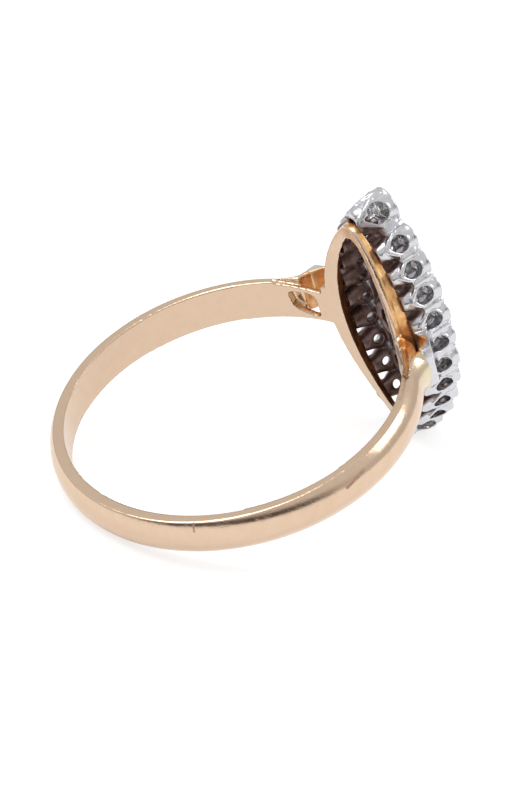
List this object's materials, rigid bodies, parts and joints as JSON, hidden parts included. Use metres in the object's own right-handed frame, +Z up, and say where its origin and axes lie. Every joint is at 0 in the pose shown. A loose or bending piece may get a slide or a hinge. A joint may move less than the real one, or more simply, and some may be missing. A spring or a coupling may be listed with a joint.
{
  "type": "navette cluster ring",
  "caption": "Finger ring with a long pointed oval head of small pierced collets set with cut stones, on a gold band with open forked shoulders.",
  "frame": {"origin": "middle of the bounding box at the height of the surface the ring rests on", "axes": "+Z up, +X from the back of the band to the head, Y across the finger hole"},
  "size_m": [0.0214, 0.0188, 0.0143],
  "materials": {
    "rose_gold": "polished",
    "platinum": "polished",
    "diamond": "faceted"
  },
  "bodies": {
    "root": {"shank": "rose_gold", "navette_top": "platinum", "outer_stone_01": "diamond", "outer_stone_02": "diamond", "outer_stone_03": "diamond", "outer_stone_04": "diamond", "outer_stone_05": "diamond", "outer_stone_06": "diamond", "outer_stone_07": "diamond", "outer_stone_08": "diamond", "outer_stone_09": "diamond", "outer_stone_10": "diamond", "outer_stone_11": "diamond", "outer_stone_12": "diamond", "outer_stone_13": "diamond", "outer_stone_14": "diamond", "outer_stone_15": "diamond", "outer_stone_16": "diamond", "outer_stone_17": "diamond", "outer_stone_18": "diamond", "outer_stone_19": "diamond", "outer_stone_20": "diamond", "centre_stone_1": "diamond", "centre_stone_2": "diamond", "centre_stone_3": "diamond", "centre_stone_4": "diamond", "centre_stone_5": "diamond"}
  },
  "joints": []
}
